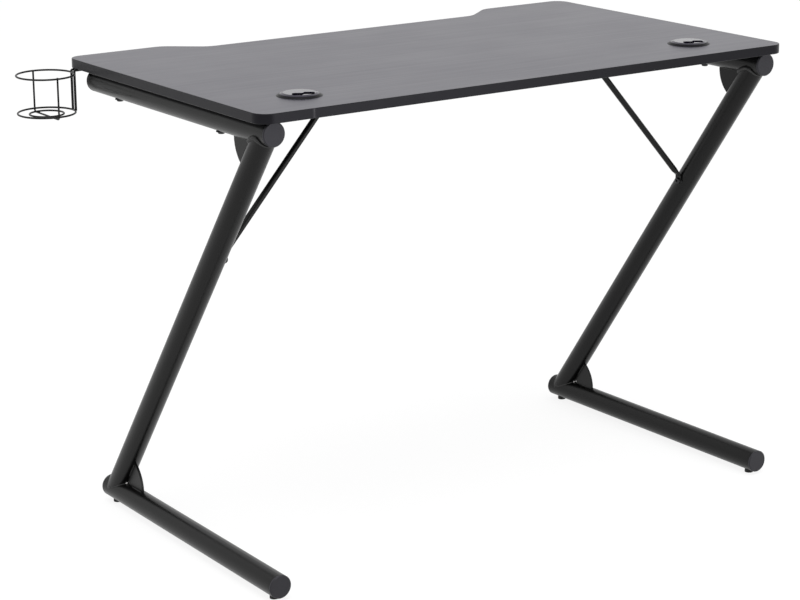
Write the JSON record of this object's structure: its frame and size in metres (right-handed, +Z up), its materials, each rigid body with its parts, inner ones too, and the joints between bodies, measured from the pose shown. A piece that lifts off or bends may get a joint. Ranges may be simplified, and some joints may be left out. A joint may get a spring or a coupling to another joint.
{
  "type": "gaming desk",
  "caption": "Gaming desk with a black laminated top, a recess in the front edge, Z-shaped round-tube side frames with braces, cable grommets with turning lids and a wire cup holder.",
  "frame": {"origin": "on the floor under the middle of the whole outline, cup holder included", "axes": "+X to the user's right along the length, +Y from the user towards the rear edge, +Z up"},
  "size_m": [1.0984, 0.611, 0.7446],
  "materials": {
    "laminate": "black satin laminate on particle board",
    "edge_band": "black satin edge band",
    "frame_paint": "black satin powder coat",
    "cap_plastic": "black moulded plastic",
    "pad_rubber": "black rubber",
    "grommet_plastic": "black moulded plastic",
    "lid_plastic": "black glossy plastic",
    "fastener_black": "black oxide",
    "zinc_steel": "zinc plated",
    "cup_wire": "black coated wire"
  },
  "bodies": {
    "desk": {"tabletop": "laminate", "edge_band": "edge_band", "right_top_rail": "frame_paint", "right_leg_tube": "frame_paint", "right_foot_tube": "frame_paint", "right_upper_gusset": "frame_paint", "right_lower_gusset": "frame_paint", "right_rail_front_cap": "cap_plastic", "right_rail_rear_cap": "cap_plastic", "right_foot_front_cap": "cap_plastic", "right_foot_rear_cap": "cap_plastic", "right_brace": "frame_paint", "right_front_pad": "pad_rubber", "right_rear_pad": "pad_rubber", "right_grommet_sleeve": "grommet_plastic", "left_top_rail": "frame_paint", "left_leg_tube": "frame_paint", "left_foot_tube": "frame_paint", "left_upper_gusset": "frame_paint", "left_lower_gusset": "frame_paint", "left_rail_front_cap": "cap_plastic", "left_rail_rear_cap": "cap_plastic", "left_foot_front_cap": "cap_plastic", "left_foot_rear_cap": "cap_plastic", "left_brace": "frame_paint", "left_front_pad": "pad_rubber", "left_rear_pad": "pad_rubber", "left_grommet_sleeve": "grommet_plastic", "brace_bolts": "fastener_black", "brace_screws": "fastener_black", "rail_bolts": "fastener_black", "rail_washers": "fastener_black", "cup_holder_screws": "fastener_black", "cup_holder_washers": "fastener_black", "brace_rivet_nuts": "zinc_steel", "board_inserts": "zinc_steel", "cup_holder_top_ring": "cup_wire", "cup_holder_bottom_ring": "cup_wire", "cup_holder_base_ring": "cup_wire", "cup_holder_cross_wire": "cup_wire", "cup_holder_hanger": "cup_wire"},
    "right_lid": {"right_grommet_lid": "lid_plastic"},
    "left_lid": {"left_grommet_lid": "lid_plastic"}
  },
  "joints": [
    {"name": "right_lid_turn", "type": "hinge", "parent": "desk", "child": "right_lid", "pos_m": [0.32582, 0.2105, 0.7428], "axis": [0, 0, 1], "continuous": true},
    {"name": "left_lid_turn", "type": "hinge", "parent": "desk", "child": "left_lid", "pos_m": [-0.42418, 0.2105, 0.7428], "axis": [0, 0, 1], "continuous": true}
  ]
}
